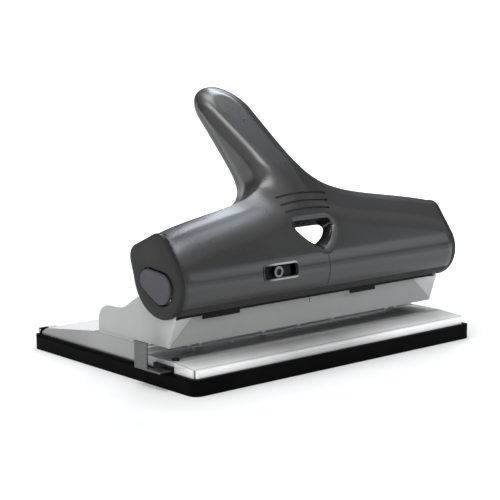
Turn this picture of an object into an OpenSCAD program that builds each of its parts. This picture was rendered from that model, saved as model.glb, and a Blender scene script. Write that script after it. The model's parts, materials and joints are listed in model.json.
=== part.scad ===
// Adjustable hole punch: a lever punch with seven pins, a pattern selector,
// a lock, a sliding paper guide and a hinged chip tray.
// X runs along the machine, Y from the paper side to the back, Z is up.
// The origin is on the ground under the middle of the chip tray.

/* [Hole pattern] */
// Distance between neighbouring holes of the four-hole pattern
four_pitch = 80; // [60:1:90]
// Distance from an outer hole of the four-hole pattern in to the three-hole pattern's outer hole
pattern_step = 12; // [11:0.5:18]
// Distance from the paper's edge to the hole centres
hole_margin = 12; // [10:0.5:16]
// Distance from the base plate's front edge back to the row of pins
bed_front = 52.5; // [49:0.5:56]

/* [Punch pins] */
// Radius of a punch pin
pin_r = 3; // [2.5:0.1:3.5]
// Radius of a pin's turned-down top
pin_top_r = 2.4; // [1.8:0.1:2.5]
// Free height between the bed and the pin tips
paper_room = 3.3; // [2.5:0.1:5]
// Radial running clearance of pins, axle and bolt
run_fit = 0.05; // [0.02:0.01:0.1]
// Radius of the clip on a pin
clip_r = 5; // [4.6:0.1:5.6]
// Thickness of the clip on a pin
clip_t = 1.2; // [0.8:0.1:1.6]
// Height of the clip above the guide's lower flange
clip_rise = 18.7; // [16:0.1:21]
// Wire thickness of the pin springs
pin_wire = 1.2; // [0.8:0.1:1.4]

/* [Chip tray] */
// Length of the tray
tray_l = 320; // [316:1:360]
// Depth of the tray, front to back
tray_d = 225; // [220:1:260]
// Height of the tray's wall
tray_h = 13; // [12:0.5:13.2]
// Corner radius of the tray
tray_r = 8; // [7:0.5:16]
// Thickness of the tray's wall
tray_wall = 4.5; // [3:0.1:6]
// Thickness of the tray's floor
tray_floor = 2.5; // [2:0.1:3]
// Radius of a rubber foot
foot_r = 8; // [5:0.5:12]
// Thickness of a rubber foot, let in flush
foot_h = 1.2; // [0.6:0.1:1.6]
// Rounding of the tray's upper edge
tray_edge_r = 2.5; // [0.5:0.1:3]
// Gap between the tray's wall and the base plate
tray_gap = 0.5; // [0.3:0.1:1]

/* [Base plate] */
// Sheet thickness of the base plate
base_t = 2; // [1.5:0.1:2.5]
// Height of the polished bed
bed_z = 21.3; // [20:0.1:23]
// Height of the plateau behind the paper stop
plateau_z = 28.6; // [27:0.1:29.5]
// Height of the front edge
lip_z = 19.4; // [18:0.1:20]
// Height of the rear slope's lower end
rear_z = 19.2; // [18:0.1:21]
// Depth of the bevel along the rear edge
rear_bevel = 9.5; // [6:0.5:14]
// Height of the rear skirt
rear_skirt_z = 13.4; // [13:0.1:15]
// Length of the front ramp, front to back
ramp_d = 29; // [20:1:34]
// Depth of the plateau, front to back
plateau_d = 70; // [66:1:90]
// Rounding of the upper edges
base_edge_r = 2.5; // [1:0.1:4]
// Thickness of the die strip
die_t = 4; // [3:0.1:4]
// Width of the die strip, front to back
die_w = 18; // [12:0.5:20]
// Clearance of the bed's holes round the pins
bed_hole_gap = 0.4; // [0.2:0.1:0.8]
// Radius of the die rivets
rivet_r = 2; // [1.5:0.1:2.6]

/* [Punch frame] */
// Distance from the base plate's ends in to the cheeks
frame_inset = 3.7; // [2:0.1:6]
// Sheet thickness of the frame
frame_t = 1.6; // [1.2:0.1:1.8]
// Distance from the pins forward to the front plate's face
front_reach = 14.8; // [14.3:0.1:15.5]
// Gap between the bed and the front plate
throat = 8.5; // [8.2:0.1:10]
// Height of the front plate
front_h = 32; // [28:0.5:32.4]
// Width of the gussets between front plate and cheeks
gusset_w = 24; // [10:0.5:30]
// How far the cheeks reach forward at the gussets' top
gusset_d = 7.5; // [5:0.1:7.6]
// Height of the cheeks' rear ear
ear_z = 52; // [48:0.5:54]
// Rounding of the cheeks' rear ear
ear_r = 14; // [8:0.5:18]
// Length of the cheeks behind the paper stop
ear_l = 67.5; // [60:0.5:74]
// Height of the cheeks' upper edge inside the lever
cheek_z = 65; // [62:0.5:65.5]
// Radius of the cheeks' boss round the axle
boss_r = 9; // [8:0.5:9.5]

/* [Lever] */
// Distance from the axle back to the pins
arm = 15; // [14.5:0.5:16]
// Height of the axle
pivot_z = 71; // [70:0.5:73]
// Radius of the axle
axle_r = 4; // [3.5:0.1:4.2]
// Room between the cheeks and the shell's end caps
cheek_play = 1.7; // [1.4:0.1:3]
// Wall of the shell
shell_wall = 3; // [2:0.1:3.5]
// Radius of the shell's rounded nose
nose_r = 26.3; // [25.5:0.1:28]
// Radius of the shell's underside at the ends
belly_r = 35.8; // [34:0.1:38]
// Lean of the front face from the horizontal
face_lean = 53.1; // [51:0.1:55]
// Fall of the top face towards the back
top_fall = 24.5; // [24:0.5:28]
// Length of the front face from the nose up to the brow
face_l = 72.5; // [66:0.5:78]
// Lean of the handle's front face
grip_lean = 34.2; // [30:0.1:36]
// Lean of the handle's rear face
grip_back_lean = 49.4; // [48:0.1:53]
// Length of the handle from the brow to the tip's centre
grip_l = 126.2; // [110:0.1:130]
// Radius of the handle's tip, seen from the side
tip_r = 6.4; // [5:0.1:8]
// Half width of the handle's waist
grip_half = 18.5; // [15:0.5:20]
// How much the handle widens towards its tip, per length
grip_spread = 0.077; // [0.04:0.001:0.1]
// Thickness of an end cap
cap_t = 5; // [4.5:0.1:7]
// Chamfer round an end cap
cap_chamfer = 3; // [1:0.1:3.5]

/* [Openings of the shell] */
// Half width of the triangular hole
tri_half = 21.5; // [16:0.5:24]
// Height of the triangular hole
tri_h = 22; // [18:0.5:24]
// Bulge of the triangular hole's sides
tri_bulge = 1.6; // [0.5:0.1:2.5]
// Depth of the collar behind the triangular hole
tri_depth = 8; // [6:0.5:12]
// Half width of the window at the back
window_half = 66; // [58:1:68]
// Length of the lock slot
lock_l = 39; // [34:0.5:44]
// Height of the lock slot
lock_h = 13.5; // [11:0.5:15]
// Place of the lock slot's middle along the shell
lock_x = -54.5; // [-70:0.5:-50]
// Travel of the lock
lock_travel = 7; // [5:0.5:7]
// Corner radius of the lock slot
lock_r = 4; // [2:0.5:5]
// Radius of the lock's round knob
knob_r = 4.6; // [3:0.1:4.8]
// Width of a grip groove
groove_w = 2; // [1:0.1:3]
// Depth of a grip groove
groove_depth = 1.5; // [0.5:0.1:2]
// Half length of the lowest grip groove
groove_half = 25.5; // [15:0.5:26]
// Distance between the grip grooves
groove_pitch = 7.5; // [5:0.1:8]

/* [Selector] */
// Travel of the selector
selector_travel = 5.2; // [5.1:0.1:5.5]
// Half width of a press lug
lug_half = 1.8; // [1.4:0.1:1.9]
// Width of the selector bar, front to back
bar_w = 8; // [6:0.5:9]
// Height of the selector bar
bar_h = 6; // [5:0.1:7]
// Length of a press lug under the bar
lug_l = 11; // [10:0.5:12]
// How far the left button stands out
button_proud = 2; // [1:0.1:2.4]

/* [Paper guide] */
// Thickness of the guide's strip
guide_t = 1.8; // [1.2:0.1:2]
// Width of the guide's bar
guide_w = 14; // [10:0.5:15]
// Length of the guide's bar
guide_l = 108; // [90:1:125]
// Height of the guide's tab
tab_h = 22; // [15:0.5:28]
// Width of the guide's tab
tab_w = 16; // [12:0.5:18]
// Distance from the base plate to the tab
guide_out = 13.2; // [13:0.1:16]
// Radius of the clip's button
nub_r = 3.2; // [2:0.1:3.4]

/* [Hidden] */
$fn = 48;
far = 400;

// Tray, base plate and rows of pins
tray_half = tray_l / 2;
tray_dh = tray_d / 2;
base_half = tray_half - tray_wall - tray_gap;
base_dh = tray_dh - tray_wall - tray_gap;
base_bottom = tray_floor;
pin_y = bed_front - base_dh;
stop_y = pin_y + hole_margin;
plateau_end = stop_y + plateau_d;
three_pitch = 1.5 * four_pitch - pattern_step;
four_xs = [-1.5, -0.5, 0.5, 1.5] * four_pitch;
three_xs = [-1, 0, 1] * three_pitch;
foot_inset = 24;
foot_places = [for (sx = [-1, 1], sy = [-1, 1]) [sx * (tray_half - foot_inset), sy * (tray_dh - foot_inset)]];

// Die strip
die_top = bed_z - base_t;
die_bottom = die_top - die_t;
die_end = 6;
die_half = 1.5 * four_pitch + die_end;
die_rivet_x = (four_pitch / 2 + three_pitch) / 2;
die_rivet_places = [for (s = [-1, 1]) [s * die_rivet_x, pin_y]];
rivet_head = 1.2;
rivet_head_h = 1;

// Frame
frame_half = base_half - frame_inset;
cheek_in = frame_half - frame_t;
front_y = pin_y - front_reach;
front_in = front_y + frame_t;
frame_z = bed_z + throat;
front_top = frame_z + front_h;
skirt_rise = 23.7;
skirt_z = frame_z + skirt_rise;
gusset_gap = 0.6;
gusset_z = skirt_z - gusset_gap;
gusset_h = gusset_z - frame_z - 1;
foot_w = 14;
foot_start = 4;
foot_end = 8;
ear_back = stop_y + ear_l;
foot_front = stop_y + foot_start;
foot_back = ear_back - foot_end;
rivet_edge = 7;
frame_rivet_places = [for (s = [-1, 1], y = [foot_front + rivet_edge, foot_back - rivet_edge])
    [s * (cheek_in - foot_w / 2), y]];

// Axle and lever
pivot_y = pin_y - arm;
shell_half = frame_half + cheek_play;
cap_x = shell_half + cap_t;
lug_gap = 0.12;
pin_top_z = pivot_z - lug_gap;

// Nose, belly and straight faces of the shell's outline, in the YZ plane
nose_dy = 1.5;
nose_dz = 8.5;
nose = [pivot_y + nose_dy, pivot_z + nose_dz];
belly = nose + [0, belly_r - nose_r];
belly_end = 348;
back_dy = 44.3;
back_dz = 34;
back_corner = [pivot_y + back_dy, pivot_z + back_dz];
face_start = nose + nose_r * dir(face_lean + 90);
brow = face_start + face_l * dir(face_lean);
tip = brow + grip_l * dir(grip_lean) + tip_r * dir(grip_lean - 90);
root_l = 92;
root = tip + tip_r * dir(grip_back_lean - 90) - root_l * dir(grip_back_lean);
crest = meet(face_start, dir(face_lean), back_corner, [-cos(top_fall), sin(top_fall)]);

// Flare of the top edge from the ends up to the handle, seen from the front
flare_a = 10.5;
flare_b = 6.5;
flare_top = flare_b + flare_a * ln(10);
spread_from = 40;
round_from = 117;
round_l = 28.5;
steps = 16;
crest_v = along_top(back_corner);

// Punch guide
guide_flange = 2.5;
guide_web = 2;
guide_depth = 10;
guide_gap = 3;
guide_h = 30.2;
guide_back = pin_y + guide_depth;
guide_half = cheek_in - guide_gap;
guide_z = frame_z + guide_h;
tip_z = bed_z + paper_room;
clip_z = frame_z + guide_flange + clip_rise;
turned_l = 5;

// Lever channel
channel_gap = 3.7;
channel_half = cheek_in - channel_gap;
channel_t = 1.6;
channel_end_t = 3;
flange_reach = 7;
flange_y = pivot_y - flange_reach;
bar_z = pivot_z + lug_l;
bar_gap = 0.3;
web_z = bar_z + bar_h + bar_gap;
web_edge = 4;
web_back = pin_y + bar_w / 2 + web_edge;
tab_h_low = 3;
tab_places = [[24 - channel_half, 62 - channel_half], [42, 72]];
bush_r = axle_r + 1.5;
bush_flange = 1;
hub_r = bush_r + 2.5;

// Lock bolt
bolt_r = 1.5;
bolt_wall = 1.2;
bolt_y = pivot_y - 9.5;
bolt_z = pivot_z - 6;
bolt_end = channel_half - 0.5;
bolt_play = 0.2;
press_angle = 32;
bolt_hole = [pivot_y, pivot_z] + turn([bolt_y - pivot_y, bolt_z - pivot_z], -press_angle);

// Shell screws and return springs
screw_xs = [for (s = [-1, 1], d = [16, 58]) s * (channel_half - d)];
screw_y = pivot_y + 5.5;
screw_r = 1.5;
post_r = 4;
screw_l = 12;
spring_x = channel_half - 48;
spring_l = 26;

// Lower lip and openings of the shell
lip_y = nose[0] - 12.5;
hem = [pivot_y + 45, pivot_z + 3];
notch_gap = 2.7;
notch_half = cheek_in - notch_gap;
tri_rise = 38;
tri_top = nose[1] + tri_rise;
window_low = web_z - 3;
window_high = tri_top - 9.5;
lock_z = nose[1] + 3.8;
groove_first = 39.8;
groove_more = 1.5;
groove_arc_r = 180;
seam_w = 0.6;
seam_depth = 0.5;

// Selector
buttons = [[pivot_y, pivot_z + 7], [pivot_y + 16.5, pivot_z + 12]];
button_rs = [12.4, 9];
button_gap = 0.4;
button_room = 0.5;
button_t = cap_t + button_proud + cheek_play - selector_travel - button_room;
cap_skin = 2.5;
button_rim = 2;
button_out = cap_x + button_proud;
bar_left = button_out - button_t;
bar_right = bar_left - selector_travel;

// Lock
bezel_w = 1.4;
bezel_proud = 0.3;
lock_face_y = nose[0] - nose_r;
slide_gap = 0.3;
lock_rest = lock_x - lock_travel / 2;
slide_y = lock_face_y + shell_wall + slide_gap;
slide_t = 5;

// Tray hinge
knuckle_r = 2;
knuckle_gap = 0.4;
knuckle_l = 8;
knuckle_edge = 1;
hinge_rise = 2.5;
hinge_y = base_dh + knuckle_r + knuckle_gap;
hinge_z = tray_h + hinge_rise;
hinge_pin_r = 1;
knuckle_out = base_half - knuckle_edge;
knuckle_in = knuckle_out - knuckle_l;
ear_in = knuckle_in - 9;
ear_out = knuckle_in - 0.3;

// Paper guide and its clip
guide_lift = 0.5;
guide_bar_z = tray_h + guide_lift;
guide_reach = 11;
guide_back_y = pin_y - guide_reach;
guide_front_y = guide_back_y - guide_w;
tab_x = -(base_half + guide_out);
foot_l = 4.5;
tab_step = 3;
clip_edge = 1;
clip_tail = 9;
clip_front = guide_front_y - clip_edge;
clip_back = guide_back_y + clip_tail;
clip_gap = 0.2;
clip_proud = 2;
clip_wall = 1;
clip_cover = 2.4;
clip_top = guide_bar_z + guide_t + clip_cover;
clip_l = 12.5;
clip_in = base_half - clip_l;
nub_x = nub_r + base_t + 2 * clip_gap - base_half;
nub_y = clip_front + nub_r + 2;
nub_h = 1.6;

// Unit vector at an angle in a plane
function dir(a) = [cos(a), sin(a)];

// Point turned about the plane's origin
function turn(p, a) = [p[0] * cos(a) - p[1] * sin(a), p[0] * sin(a) + p[1] * cos(a)];

// Points of an arc from one angle to another
function arc(c, r, a0, a1, n = 12) = [for (i = [0:n]) c + r * dir(a0 + (a1 - a0) * i / n)];

// Meeting point of two lines, each a point and a direction
function meet(p, u, q, v) =
    let (d = u[0] * v[1] - u[1] * v[0], w = q - p, s = (w[0] * v[1] - w[1] * v[0]) / d) p + s * u;

// Outline moved inwards by d; its points run anticlockwise
function inset(p, d) = [for (i = [0:len(p) - 1])
    let (
        a = p[(i + len(p) - 1) % len(p)],
        b = p[i],
        c = p[(i + 1) % len(p)],
        u = (b - a) / norm(b - a),
        v = (c - b) / norm(c - b),
        bend = u[0] * v[0] + u[1] * v[1]
    )
    b + d * ([-u[1], u[0]] + [-v[1], v[0]]) / (1 + bend)];

// Outline round two circles
function egg(c1, r1, c2, r2, n = 14) =
    let (w = c2 - c1, phi = atan2(w[1], w[0]), beta = acos((r1 - r2) / norm(w)))
    concat(arc(c1, r1, phi + beta, phi + 360 - beta, n), arc(c2, r2, phi - beta, phi + beta, n));

// Height of a point above the sloping top direction
function along_top(p) = p[0] * sin(top_fall) + p[1] * cos(top_fall);

// End outline of the shell and its caps
function cap_outline() = concat(
    arc(belly, belly_r, 270, belly_end),
    [back_corner, crest],
    arc(nose, nose_r, face_lean + 90, 265));

// Side outline of the shell with its handle
function side_outline() = concat(
    arc(belly, belly_r, 270, belly_end),
    [back_corner, root],
    arc(tip, tip_r, grip_back_lean - 90, grip_lean + 90),
    [brow],
    arc(nose, nose_r, face_lean + 90, 265));

// Rise of the shell's top edge at a distance from the middle
function flare(x) =
    let (u = (x - grip_half) / (shell_half - grip_half)) flare_b * (1 - pow(u, 4)) - flare_a * ln(u);

// Half width of the handle at a rise above the ends
function grip_at(rise) = grip_half + grip_spread * max(0, rise - spread_from)
    + (shell_half - grip_half) * exp((flare_b - rise) / flare_a);

// Right half of the front outline, from the lower end up to the tip
function flare_x(i) = let (u = i / steps) grip_half + (shell_half - grip_half) * pow(0.1, u);
front_right = concat(
    [[shell_half, -far]],
    [for (i = [0:steps]) [flare_x(i), flare(flare_x(i))]],
    [for (i = [1:steps]) let (rise = flare_top + (round_from - flare_top) * i / steps) [grip_at(rise), rise]],
    [for (a = [6:6:90]) [grip_at(round_from) * cos(a), round_from + round_l * sin(a)]]);

// Solid from an outline in the YZ plane, between two places on X
module bar_x(points, x0, x1) {
    translate([x0, 0, 0])
        rotate([90, 0, 90])
            linear_extrude(x1 - x0)
                polygon(points);
}

// Round bar along X at a place in the YZ plane
module rod_x(c, r, x0, x1) {
    translate([x0, c[0], c[1]])
        rotate([0, 90, 0])
            cylinder(r = r, h = x1 - x0);
}

// Block between two corners
module block(a, b) {
    translate(a)
        cube(b - a);
}

// Rounded rectangle standing on z0
module slab(half_l, half_d, r, z0, z1) {
    translate([0, 0, z0])
        linear_extrude(z1 - z0)
            union() {
                square([2 * half_l - 2 * r, 2 * half_d], center = true);
                square([2 * half_l, 2 * half_d - 2 * r], center = true);
                for (sx = [-1, 1], sy = [-1, 1])
                    translate([sx * (half_l - r), sy * (half_d - r)])
                        circle(r);
            }
}

// Cross outline of the tray with rounded upper edges
function tray_outline(half) = concat(
    [[-half, 0], [half, 0]],
    arc([half - tray_edge_r, tray_h - tray_edge_r], tray_edge_r, 0, 90, 5),
    arc([tray_edge_r - half, tray_h - tray_edge_r], tray_edge_r, 90, 180, 5));

// Black tray that catches the chips
module chip_tray() {
    inner_r = tray_r - tray_wall;
    color([0.06, 0.06, 0.06])
        difference() {
            union() {
                difference() {
                    intersection() {
                        slab(tray_half, tray_dh, tray_r, 0, tray_h);
                        bar_x(tray_outline(tray_dh), -tray_half, tray_half);
                        rotate([0, 0, 90])
                            bar_x(tray_outline(tray_half), -tray_dh, tray_dh);
                    }
                    slab(tray_half - tray_wall, tray_dh - tray_wall, inner_r, base_bottom, tray_h + 1);
                }
                for (s = [0, 1])
                    mirror([s, 0, 0]) {
                        rod_x([hinge_y, hinge_z], knuckle_r, knuckle_in, knuckle_out);
                        block([knuckle_in, hinge_y - 1, tray_h - 1], [knuckle_out, hinge_y + 1, hinge_z]);
                    }
            }
            for (p = foot_places)
                translate([p[0], p[1], -1])
                    cylinder(r = foot_r, h = foot_h + 1);
            rod_x([hinge_y, hinge_z], hinge_pin_r + run_fit, -far, far);
        }
}

// Round pads let into the tray's underside
module rubber_feet() {
    color([0.12, 0.12, 0.12])
        for (p = foot_places)
            translate([p[0], p[1], 0])
                cylinder(r = foot_r, h = foot_h);
}

// Pins of the tray's hinge, fixed in the base plate's ears
module tray_hinge_pins() {
    color([0.7, 0.7, 0.7])
        for (s = [0, 1])
            mirror([s, 0, 0])
                rod_x([hinge_y, hinge_z], hinge_pin_r, ear_in, knuckle_out);
}

// Side outline of the base plate, from the bottom at z0
function base_outline(z0) = concat(
    [[-base_dh, z0], [base_dh, z0]],
    [[base_dh, rear_skirt_z], [base_dh - rear_bevel, rear_z], [plateau_end, plateau_z]],
    arc([stop_y + base_edge_r, plateau_z - base_edge_r], base_edge_r, 90, 180, 6),
    [[stop_y, bed_z], [ramp_d - base_dh, bed_z]],
    arc([base_edge_r - base_dh, lip_z - base_edge_r], base_edge_r, 95, 180, 6));

// Polished base with its bed, paper stop, plateau and skirts
module base_plate() {
    corner_r = tray_r - tray_wall;
    color([0.78, 0.78, 0.8])
        difference() {
            union() {
                difference() {
                    intersection() {
                        bar_x(base_outline(base_bottom), -base_half, base_half);
                        slab(base_half, base_dh, corner_r, 0, plateau_z + 1);
                    }
                    intersection() {
                        bar_x(inset(base_outline(base_bottom - 2 * base_t), base_t), -base_half, base_half);
                        slab(base_half - base_t, base_dh - base_t, corner_r - base_t, -1, plateau_z + 1);
                    }
                }
                for (s = [0, 1])
                    mirror([s, 0, 0]) {
                        rod_x([hinge_y, hinge_z], knuckle_r, ear_in, ear_out);
                        block([ear_in, base_dh - rear_bevel / 2, hinge_z - 1],
                            [ear_out, hinge_y, hinge_z + 1]);
                    }
            }
            for (x = concat(four_xs, three_xs))
                translate([x, pin_y, die_top - 1])
                    cylinder(r = pin_r + bed_hole_gap, h = base_t + 2);
            for (p = die_rivet_places)
                translate([p[0], p[1], die_top - 1])
                    cylinder(r = rivet_r, h = base_t + 2);
            for (p = frame_rivet_places)
                translate([p[0], p[1], plateau_z - base_t - 1])
                    cylinder(r = rivet_r, h = base_t + 2);
            block([-base_half - 1, clip_front - clip_gap, guide_bar_z - clip_wall - clip_gap],
                [1 - base_half + base_t, clip_back + clip_gap, clip_top + clip_gap]);
            translate([nub_x, nub_y, die_top - 1])
                cylinder(r = nub_r + clip_gap, h = base_t + 2);
            rod_x([hinge_y, hinge_z], hinge_pin_r, -far, far);
        }
}

// Hardened strip under the bed with the seven dies
module die_strip() {
    color([0.5, 0.5, 0.52])
        difference() {
            block([-die_half, pin_y - die_w / 2, die_bottom], [die_half, pin_y + die_w / 2, die_top]);
            for (x = concat(four_xs, three_xs))
                translate([x, pin_y, die_bottom - 1])
                    cylinder(r = pin_r + run_fit, h = die_t + 2);
            for (p = die_rivet_places)
                translate([p[0], p[1], die_bottom - 1])
                    cylinder(r = rivet_r, h = die_t + 2);
        }
}

// Rivets that hold the die strip, flush with the bed
module die_rivets() {
    color([0.7, 0.7, 0.72])
        for (p = die_rivet_places)
            translate([p[0], p[1], die_bottom]) {
                cylinder(r = rivet_r, h = die_t + base_t);
                translate([0, 0, -rivet_head_h])
                    cylinder(r = rivet_r + rivet_head, h = rivet_head_h);
            }
}

// Side outline of a cheek
cheek_back = stop_y + 20.5;
cheek_front = front_y - gusset_d;
function cheek_outline() = concat(
    [[front_y, frame_z], [stop_y + 1, frame_z], [stop_y + 1, plateau_z], [ear_back, plateau_z]],
    arc([ear_back - ear_r, ear_z - ear_r], ear_r, 0, 95, 8),
    [[stop_y + 43, ear_z], [stop_y + 36, ear_z + 0.8], [stop_y + 30, ear_z + 3], [cheek_back, ear_z + 9]],
    [[cheek_back - 7, cheek_z], [pivot_y + boss_r, cheek_z]],
    [[pivot_y + boss_r, pivot_z], [cheek_front, pivot_z], [cheek_front, gusset_z],
        [front_y, gusset_z - gusset_h]]);

// Front plate and both cheeks, bent from one sheet
mark_w = 1;
mark_h = 6;
mark_z = frame_z + 17;
module punch_frame() {
    color([0.62, 0.62, 0.63])
        difference() {
            union() {
                block([-cheek_in, front_y, frame_z], [cheek_in, front_in, gusset_z]);
                for (s = [0, 1])
                    mirror([s, 0, 0]) {
                        bar_x(cheek_outline(), cheek_in, frame_half);
                        gusset();
                        rod_x([pivot_y, pivot_z], boss_r, cheek_in, frame_half);
                        rod_x(bolt_hole, bolt_r + 2.5, cheek_in, frame_half);
                        block([cheek_in - foot_w, foot_front, plateau_z],
                            [cheek_in, foot_back, plateau_z + frame_t]);
                    }
                block([-channel_half, front_y, frame_z], [channel_half, front_in, front_top]);
            }
            rod_x([pivot_y, pivot_z], axle_r, -far, far);
            rod_x(bolt_hole, bolt_r + bolt_play, -far, far);
            for (p = frame_rivet_places)
                translate([p[0], p[1], plateau_z - 1])
                    cylinder(r = rivet_r, h = frame_t + 2);
            block([-mark_w / 2, front_y - 1, mark_z], [mark_w / 2, front_y + frame_t / 2, mark_z + mark_h]);
        }
}

// Corner piece between the front plate and a cheek
module gusset() {
    corner = [cheek_in, front_y, gusset_z];
    polyhedron(
        points = [corner, corner - [gusset_w, 0, 0], corner - [0, gusset_d, 0], corner - [0, 0, gusset_h]],
        faces = [[0, 2, 1], [0, 1, 3], [0, 3, 2], [1, 2, 3]]);
}

// Rivets that hold the frame's feet on the plateau
module frame_rivets() {
    head_h = 1.6;
    color([0.7, 0.7, 0.72])
        for (p = frame_rivet_places)
            translate([p[0], p[1], plateau_z - base_t]) {
                cylinder(r = rivet_r, h = base_t + frame_t + head_h);
                translate([0, 0, base_t + frame_t])
                    cylinder(r = rivet_r + 1.5, h = head_h);
                translate([0, 0, -rivet_head_h])
                    cylinder(r = rivet_r + rivet_head, h = rivet_head_h);
            }
}

// Folded channel behind the front plate that guides the pins
module punch_guide() {
    color([0.55, 0.55, 0.57])
        difference() {
            block([-guide_half, front_in, frame_z], [guide_half, guide_back, guide_z]);
            block([-far, front_in - 1, frame_z + guide_flange],
                [far, guide_back - guide_web, guide_z - guide_flange]);
            for (x = concat(four_xs, three_xs))
                translate([x, pin_y, frame_z - 1])
                    cylinder(r = pin_r + run_fit, h = guide_z - frame_z + 2);
        }
}

// One punch pin with its notched tip
module punch(x) {
    notch = 1.2;
    color([0.72, 0.72, 0.74])
        translate([x, pin_y, 0])
            difference() {
                union() {
                    translate([0, 0, tip_z])
                        cylinder(r = pin_r, h = pin_top_z - turned_l - tip_z);
                    translate([0, 0, pin_top_z - turned_l])
                        cylinder(r = pin_top_r, h = turned_l);
                }
                translate([0, 0, tip_z])
                    rotate([0, 45, 0])
                        cube([notch, 4 * pin_r, notch], center = true);
            }
}

// Clip that carries a pin on its spring
module pin_clip(x) {
    color([0.3, 0.3, 0.32])
        translate([x, pin_y, clip_z])
            difference() {
                cylinder(r = clip_r, h = clip_t);
                translate([0, 0, -1])
                    cylinder(r = pin_r, h = clip_t + 2);
            }
}

// Return springs of a set of pins, inside the guide
module pin_springs(xs) {
    spring_in = pin_r + 0.4;
    color([0.6, 0.6, 0.62])
        for (x = xs)
            translate([x, pin_y, frame_z + guide_flange])
                difference() {
                    cylinder(r = spring_in + pin_wire, h = clip_rise);
                    translate([0, 0, -1])
                        cylinder(r = spring_in, h = clip_rise + 2);
                }
}

// Axle that the lever turns on, held by the cheeks
module lever_axle() {
    color([0.7, 0.7, 0.72])
        rod_x([pivot_y, pivot_z], axle_r, -frame_half, frame_half);
}

// Clips on the axle inside the cheeks
module axle_clips() {
    color([0.3, 0.3, 0.32])
        for (s = [0, 1])
            mirror([s, 0, 0])
                difference() {
                    rod_x([pivot_y, pivot_z], axle_r + 2, cheek_in - 1.2, cheek_in);
                    rod_x([pivot_y, pivot_z], axle_r, 0, far);
                }
}

// Torsion springs on the axle that lift the lever
module return_springs() {
    inner = axle_r + 0.3;
    wire = 0.9;
    leg = inner + wire / 2;
    color([0.6, 0.6, 0.62])
        for (s = [0, 1])
            mirror([s, 0, 0]) {
                difference() {
                    rod_x([pivot_y, pivot_z], inner + wire, spring_x, spring_x + spring_l);
                    rod_x([pivot_y, pivot_z], inner, 0, far);
                }
                translate([spring_x + wire, pivot_y + leg, guide_z])
                    cylinder(r = wire / 2, h = pivot_z - guide_z);
                translate([spring_x + spring_l - wire, pivot_y - leg, pivot_z])
                    cylinder(r = wire / 2, h = web_z - pivot_z);
            }
}

// Whole front outline, measured up from the ends of the top edge
front_outline = concat(front_right, [for (i = [len(front_right) - 2:-1:0])
    [-front_right[i][0], front_right[i][1]]]);

// Solid form of the shell: side outline cut to the front outline, both moved in by d
module shell_form(d) {
    intersection() {
        bar_x(inset(side_outline(), d), -shell_half, shell_half);
        rotate([-90 - top_fall, 0, 0])
            mirror([0, 1, 0])
                translate([0, crest_v, -far])
                    linear_extrude(2 * far)
                        polygon(inset(front_outline, d));
    }
}

// Points of a flat arc between two points, bulging to the right of the way
function bow(p, q, h, n = 6) =
    let (half = norm(q - p) / 2, r = (half * half + h * h) / (2 * h), u = (q - p) / (2 * half),
        c = (p + q) / 2 + (r - h) * [-u[1], u[0]], a = asin(half / r), m = atan2(-u[0], u[1]))
    [for (i = [1:n - 1]) c + r * dir(m - a + 2 * a * i / n)];

// Triangle of the through hole, grown by d, from the front to a depth
module tri_prism(d, y0, y1) {
    r = 4;
    a = [tri_half - r, tri_top - r];
    low = [0, tri_top - tri_h + r + 1];
    left = arc([-a[0], a[1]], r + d, 90, 215, 6);
    foot = arc(low, r + 1 + d, 225, 315, 6);
    right = arc(a, r + d, -35, 90, 6);
    points = concat(left, bow(left[6], foot[0], tri_bulge), foot, bow(foot[6], right[0], tri_bulge), right);
    translate([0, y1, 0])
        rotate([90, 0, 0])
            linear_extrude(y1 - y0)
                polygon(points);
}

// Hollow of the shell, less the screw posts and the collar of the hole
function face_band(d0, d1) = [
    face_start + [d0, 0] - 20 * dir(face_lean), face_start + [d1, 0] - 20 * dir(face_lean),
    face_start + [d1, 0] + face_l * dir(face_lean), face_start + [d0, 0] + face_l * dir(face_lean)];
module shell_hollow() {
    difference() {
        union() {
            bar_x(inset(cap_outline(), shell_wall), -far, far);
            shell_form(shell_wall);
        }
        for (x = screw_xs)
            translate([x, screw_y, web_z + channel_t])
                cylinder(r = post_r, h = far);
        intersection() {
            tri_prism(shell_wall, -far, far);
            bar_x(face_band(-1, tri_depth), -far, far);
        }
    }
}

// Dark shell of the lever with its handle
module lever_shell() {
    opening = [[lip_y, nose[1] - belly_r], [hem[0] + 20, 0], [hem[0] + 20, hem[1]], [hem[0] - 30, hem[1]],
        [lip_y, nose[1] - nose_r + 12]];
    color([0.25, 0.25, 0.26])
        difference() {
            shell_form(0);
            shell_hollow();
            bar_x(opening, -far, far);
            intersection() {
                tri_prism(0, -far, far);
                bar_x(face_band(-tri_depth, tri_depth + 1), -far, far);
            }
            block([-window_half, web_back, window_low], [window_half, pivot_y + 80, window_high]);
            for (s = [0, 1])
                mirror([s, 0, 0])
                    block([notch_half, pivot_y + 20, 0], [far, far, back_corner[1] - shell_wall - 1]);
            lock_hole(0);
            for (i = [0:2])
                grip_groove(groove_first + i * groove_pitch, groove_half + i * groove_more);
            bar_x(concat(arc(nose, nose_r + 1, 155, 212), arc(nose, nose_r - seam_depth, 212, 155)),
                -seam_w / 2, seam_w / 2);
            for (x = screw_xs)
                translate([x, screw_y, web_z])
                    cylinder(r = screw_r, h = channel_t + screw_l);
        }
}

// Opening of the lock in the shell, made smaller by d
module lock_hole(d) {
    half = [lock_l / 2 - d, lock_h / 2 - d];
    r = lock_r - d;
    translate([lock_x, lock_face_y + 10, lock_z])
        rotate([90, 0, 0])
            linear_extrude(20)
                union() {
                    square([2 * half[0] - 2 * r, 2 * half[1]], center = true);
                    square([2 * half[0], 2 * half[1] - 2 * r], center = true);
                    for (sx = [-1, 1], sz = [-1, 1])
                        translate([sx * (half[0] - r), sz * (half[1] - r)])
                            circle(r);
                }
}

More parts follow.
